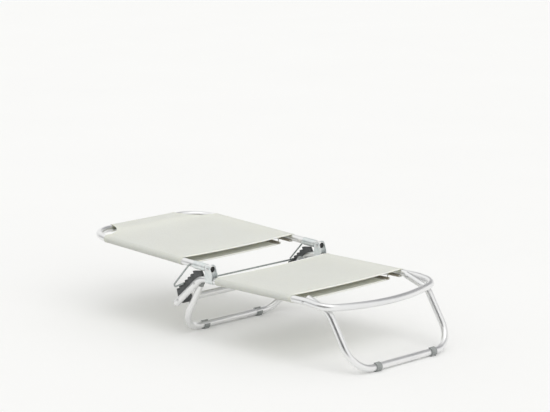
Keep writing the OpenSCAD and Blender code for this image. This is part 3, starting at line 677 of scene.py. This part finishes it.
class Cloth:
    """Collects a sling's points, with each one's flat place and share of hem thickness."""

    def __init__(self, place):
        self.place = place
        self.points = []
        self.flat = []
        self.hem = []
        self.faces = []
        self.before = None

    def row(self, points, flat_run, flats, hems):
        """Adds a row of (x, run, rise) points, joined to the row before it."""
        start = len(self.points)
        for (x, along, rise), u, hem in zip(points, flats, hems):
            # The lip share also paints the lip paler: partly a paler lip, partly painted highlight
            lip = max(0.0, (hem - BAND_SHARE) / (1 - BAND_SHARE))
            self.points.append(self.place(x, along, rise))
            # -1 marks the rolled hems, which the fabric paints darker: partly a darker hem tape,
            # partly painted shade
            self.flat.append((u, flat_run, -1.0 if hem == ROLLED else lip))
            self.hem.append(max(0.0, hem))
        now = list(range(start, len(self.points)))
        if self.before:
            a, b = self.before, now
            self.faces += [(a[i], a[i + 1], b[i + 1], b[i]) for i in range(len(a) - 1)]
        self.before = now

    def wrapped_rows(self, length, edge_at):
        """Adds the rows of the part that wraps both rails.

        edge_at gives the distance of a profile point (index, x) from its free edge at a run.
        """
        for run in stations(length):
            row = wrapped_row(run, length)
            hems = [wrap_share(i, x, edge_at(i, x, run)) for i, (x, _) in enumerate(row)]
            self.row([(x, run, rise) for x, rise in row], run, FLAT_U, hems)

    def keep_top(self):
        """Goes on from the top of the last row alone."""
        self.before = self.before[TOP_FIRST:TOP_LAST + 1]

    def head_row(self, points, flat_run, edges):
        """Adds a row of the head, with each point's distance from its free edge."""
        flats = [FLAT_U[TOP_FIRST] + RAIL_X + x for x, _, _ in points]
        hems = [min(hem_share(max(0.0, edge)), BAND_SHARE) for edge in edges]
        self.row(points, flat_run, flats, hems)

    def build(self, name, material):
        """The fabric as a closed sheet, thicker where its hems are folded."""
        obj = plain_mesh(name, self.points, self.faces)
        attribute = obj.data.attributes.new("flat_place", "FLOAT_VECTOR", "POINT")
        attribute.data.foreach_set("vector", np.array(self.flat, np.float32).ravel())
        group = obj.vertex_groups.new(name="hem")
        for index, weight in enumerate(self.hem):
            group.add([index], weight, "REPLACE")
        shell = obj.modifiers.new("shell", "SOLIDIFY")
        shell.thickness = BEAD_T
        shell.offset = 0
        shell.vertex_group = "hem"
        shell.thickness_vertex_group = CLOTH_T / BEAD_T
        shell.use_even_offset = True
        rim = obj.modifiers.new("rim", "BEVEL")
        rim.width = RIM_R
        rim.segments = 2
        rim.limit_method = "ANGLE"
        rim.angle_limit = RIM_ANGLE
        bake(obj)
        obj.data.materials.append(material)
        obj.data.shade_smooth()
        return obj


def bake(obj):
    """Applies an object's modifiers."""
    bpy.context.view_layer.update()
    graph = bpy.context.evaluated_depsgraph_get()
    mesh = bpy.data.meshes.new_from_object(obj.evaluated_get(graph))
    obj.modifiers.clear()
    obj.data = mesh


def seat_cloth(material):
    """The seat sling, wrapped round both rails and hemmed at both ends."""
    cloth = Cloth(seat_point)
    cloth.wrapped_rows(SEAT_LEN, lambda i, x, run: min(run, SEAT_LEN - run))
    return cloth.build("seat_sling_cloth", material)


def back_edge(i, x, run):
    """Distance of a place on the wrapped part of the backrest sling from its free edge."""
    if TOP_FIRST < i < TOP_LAST:
        return min(run, max(0.0, bite_distance(x, run)))
    return min(run, SLEEVE_LEN - run)


def head_panel(cloth):
    """Rows between the rails' sleeves and the head bar, narrowing with the cut-outs."""
    for t in np.linspace(0, 1, PANEL_ROWS + 1)[1:]:
        edge_x, edge_run = bite_point(t, BITE_R)
        middle = SLEEVE_LEN + (HEAD_RISE - SLEEVE_LEN) * t
        points = []
        for s in TOP_SHARES:
            x, run = s * edge_x, middle + (edge_run - middle) * abs(s) ** PANEL_BOW
            points.append((x, run, panel_rise(x, run)))
        cloth.head_row(points, middle, [bite_distance(x, run) for x, run, _ in points])


def head_sleeve(cloth):
    """Rows round the head bar, and those of the flap that is sewn under the panel."""
    flat_run = HEAD_RISE
    lip = [HEAD_SLEEVE_HALF * (1 - abs(s)) for s in TOP_SHARES]
    for angle in range(WRAP_END, -90 - 1, -SLEEVE_TURN):
        turned = math.radians(angle)
        flat_run += WRAP_R * math.radians(SLEEVE_TURN)
        run = HEAD_RISE + WRAP_R * math.cos(turned)
        rise = WRAP_R * math.sin(turned)
        cloth.head_row([(s * HEAD_SLEEVE_HALF, run, rise) for s in TOP_SHARES], flat_run, lip)
    for k in range(1, FLAP_ROWS + 2):
        share = k / FLAP_ROWS
        along = HEAD_RISE - min(share, 1.0) * HEAD_FLAP
        along -= max(0, share - 1) * FLAP_ROWS * HEAD_STRIP
        points = []
        for s in TOP_SHARES:
            x = s * HEAD_SLEEVE_HALF
            under = panel_rise(x, along) - FLAP_GAP
            points.append((x, along, -WRAP_R + (under + WRAP_R) * min(1.0, share)))
        flat_run += FLAP_ROW_PITCH
        cloth.head_row(points, flat_run, lip)


def back_cloth(material):
    """The backrest sling: sleeves on rails and head bar, rounded cut-outs at the corners."""
    cloth = Cloth(back_point)
    cloth.wrapped_rows(SLEEVE_LEN, back_edge)
    cloth.keep_top()
    head_panel(cloth)
    head_sleeve(cloth)
    return cloth.build("backrest_sling_cloth", material)


# Sewing


def along_line(points):
    """Stitches spaced evenly along a polyline, as pairs of their ends."""
    steps = [(b - a).length for a, b in zip(points, points[1:])]
    marks = np.concatenate([[0], np.cumsum(steps)])
    ends = []
    for start in np.arange(STITCH_PITCH / 2, marks[-1] - STITCH_PITCH, STITCH_PITCH):
        pair = []
        for s in (start, start + STITCH_SHARE * STITCH_PITCH):
            k = min(int(np.searchsorted(marks, s)) - 1, len(steps) - 1)
            pair.append(points[k].lerp(points[k + 1], (s - marks[k]) / steps[k]))
        ends.append(pair)
    return ends


def stitch_loop(a, b, up, base):
    """Points and faces of one stitch from a to b, with the index of its first point."""
    along = (b - a).normalized()
    side = along.cross(up).normalized()
    n = STITCH_SIDES
    points, faces = [], []
    for share, size, sink in STITCH_RINGS:
        centre = a.lerp(b, share) + up * (THREAD_R * (STITCH_RISE - sink))
        for k in range(n):
            t = 2 * math.pi * k / n
            points.append(centre + (side * math.cos(t) + up * math.sin(t)) * THREAD_R * size)
    last = len(STITCH_RINGS) - 1
    for ring in range(last):
        p = base + ring * n
        for k in range(n):
            j = (k + 1) % n
            faces.append((p + k, p + j, p + n + j, p + n + k))
    faces.append(tuple(base + k for k in reversed(range(n))))
    faces.append(tuple(base + last * n + k for k in range(n)))
    return points, faces


def stitches(name, lines, body, material):
    """One mesh of short thread loops. Each line is (points, outward direction at each)."""
    points, faces = [], []
    for line, outward in lines:
        for a, b in along_line(line):
            near = min(range(len(line)), key=lambda k: (line[k] - a).length_squared)
            loop_points, loop_faces = stitch_loop(a, b, outward[near].normalized(), len(points))
            points += loop_points
            faces += loop_faces
    obj = plain_mesh(name, points, faces)
    obj.data.materials.append(material)
    obj.data.shade_smooth()
    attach(obj, body)
    return obj


def profile_line(place, run, length):
    """A stitch line across a sling on its outer face, with the outward directions."""
    line, outward = [], []
    row = wrapped_row(run, length)
    for i in range(STRIP_POINTS + ROLL_POINTS, len(row) - ROLL_POINTS - 1):
        x, rise = row[i]
        before, after = row[i - 1], row[i + 1]
        tangent = Vector((after[0] - before[0], after[1] - before[1])).normalized()
        out = Vector((-tangent.y, tangent.x))
        foot = place(x, run, rise)
        tip = place(x + out.x, run, rise + out.y)
        line.append(foot + (tip - foot).normalized() * BAND_T / 2)
        outward.append(tip - foot)
    return line, outward


def hem_line(place, up, length):
    """The seam of the near flap's hem, on the underside, with the outward directions."""
    lift = -up * CLOTH_T / 2
    x = NEAR_HEM_X - HEM_ROLL_R - HEM_STITCH_RUN
    rise = -WRAP_R - HEM_STITCH_DROP
    start = Vector((x, HEM_STITCH_INSET, rise))
    end = Vector((x, length - HEM_STITCH_INSET, rise))
    shares = [k / STRAIGHT_POINTS for k in range(STRAIGHT_POINTS + 1)]
    line = [place(*start.lerp(end, share)) + lift for share in shares]
    return line, [lift] * len(line)


def sew(material):
    """The seams of both slings."""
    lines = [profile_line(seat_point, run, SEAT_LEN)
             for run in (STITCH_LINE, SEAT_LEN - STITCH_LINE)]
    lines.append(hem_line(seat_point, Vector((0, 0, 1)), SEAT_LEN))
    seat = stitches("seat_sling_seams", lines, "seat_frame", material)
    lines = [profile_line(back_point, STITCH_LINE, SLEEVE_LEN)]
    lines.append(hem_line(back_point, OFF_BACK, SLEEVE_LEN))
    lift = OFF_BACK * BAND_T / 2
    shares = np.linspace(0, 1, BITE_POINTS)
    for side in (-1, 1):
        places = [bite_point(share, BITE_R + STITCH_LINE) for share in shares]
        line = [back_point(side * x, run, panel_rise(x, run)) + lift for x, run in places]
        lines.append((line, [lift] * len(line)))
    run = HEAD_RISE - HEAD_FLAP - HEAD_STRIP / 2
    line = [
        back_point(x, run, panel_rise(x, run)) + OFF_BACK * CLOTH_T / 2
        for x in np.linspace(-HEAD_SLEEVE_HALF, HEAD_SLEEVE_HALF, HEAD_SEAM_POINTS)
    ]
    lines.append((line, [lift] * len(line)))
    back = stitches("backrest_sling_seams", lines, "backrest", material)
    return seat, back


def rounded(angle):
    """Cosine and sine of an angle, drawn out towards the corners of a square."""
    return [abs(f(angle)) ** RING_POWER * math.copysign(1, f(angle)) for f in (math.cos, math.sin)]


def lace_rings(name, place, length, body, material):
    """Wire rings that tie the elastic cord's turns to the rolled hems."""
    wire = RING_WIRE_R
    reach = HEM_ROLL_R + CLOTH_T / 2 + LACE_R + LACE_GAP + LACE_TURN_DEPTH
    height = HEM_ROLL_R + CLOTH_T / 2 + wire + RING_GAP
    half = (reach + LACE_R + HEM_ROLL_R) / 2 + 2 * wire
    points, faces = [], []
    for i in range(1, LACE_SPANS):
        near = i % 2 == 0
        hem, side = (NEAR_HEM_X, 1) if near else (FAR_HEM_X, -1)
        run = LACE_INSET + i * (length - 2 * LACE_INSET) / LACE_SPANS
        middle = hem + side * (reach + LACE_R - HEM_ROLL_R) / 2
        base = len(points)
        for k in range(RING_POINTS):
            out_x, out_h = rounded(2 * math.pi * k / RING_POINTS)
            ahead = base + (k + 1) % RING_POINTS * RING_SIDES
            here = base + k * RING_SIDES
            for j in range(RING_SIDES):
                b = 2 * math.pi * j / RING_SIDES
                grow = wire * math.cos(b)
                rise = -HEM_DROP + (height + grow) * out_h
                points.append(place(middle + (half + grow) * out_x, run + wire * math.sin(b), rise))
                m = (j + 1) % RING_SIDES
                faces.append((here + j, ahead + j, ahead + m, here + m))
    obj = plain_mesh(name, points, faces)
    obj.data.materials.append(material)
    obj.data.shade_smooth()
    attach(obj, body)


# The chair


def dress_nodes(materials):
    """Gives every CAD node its slot's finish, and shading that is smooth across CAD seams."""
    slots = {part["node"]: part["material_slot"] for part in frame["record"]["subparts"]}
    # The strut's caps don't stand out dark from the rails in the photograph
    slots["strut_caps"] = "pale_plastic"
    for name, obj in frame["nodes"].items():
        obj.data.materials.clear()
        obj.data.materials.append(materials[slots[name]])
        obj.data.shade_smooth()
        weld = obj.modifiers.new("weld", "WELD")
        weld.merge_threshold = WELD_GAP
        split = obj.modifiers.new("sharp_edges", "EDGE_SPLIT")
        split.split_angle = SHARP_ANGLE


def dress_slings(materials):
    seat = seat_cloth(materials["sling_fabric"])
    back = back_cloth(materials["sling_fabric"])
    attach(seat, "seat_frame")
    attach(back, "backrest")
    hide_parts("seat_sling")
    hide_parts("backrest_sling")
    seat_seams, back_seams = sew(thread_material())


def main():
    """Sets up the studio and dresses the chair."""
    bpy.context.scene.view_settings.view_transform = "Standard"
    add_camera()
    add_world()
    add_sun("key", strength=0.27, spread=34, direction=(-0.7, -0.9, 4.0))
    add_sun("front_fill", strength=0.88, spread=50, direction=(-0.3, -1.0, 0.62), mirrored=False)
    add_floor()
    add_panel("room_panel", tone=0.03, azimuths=(170, 232), heights=(0, 33))
    add_panel("left_panel", tone=0.26, azimuths=(100, 170), heights=(2, 19))
    add_panel("back_panel", tone=0.38, azimuths=(-46, 46), heights=(19, 56))
    materials = finishes()
    dress_nodes(materials)
    dress_slings(materials)
    steel = materials["fastener_steel"]
    lace_rings("seat_lace_rings", seat_point, SEAT_LEN, "seat_frame", steel)
    lace_rings("backrest_lace_rings", back_point, SLEEVE_LEN, "backrest", steel)


main()
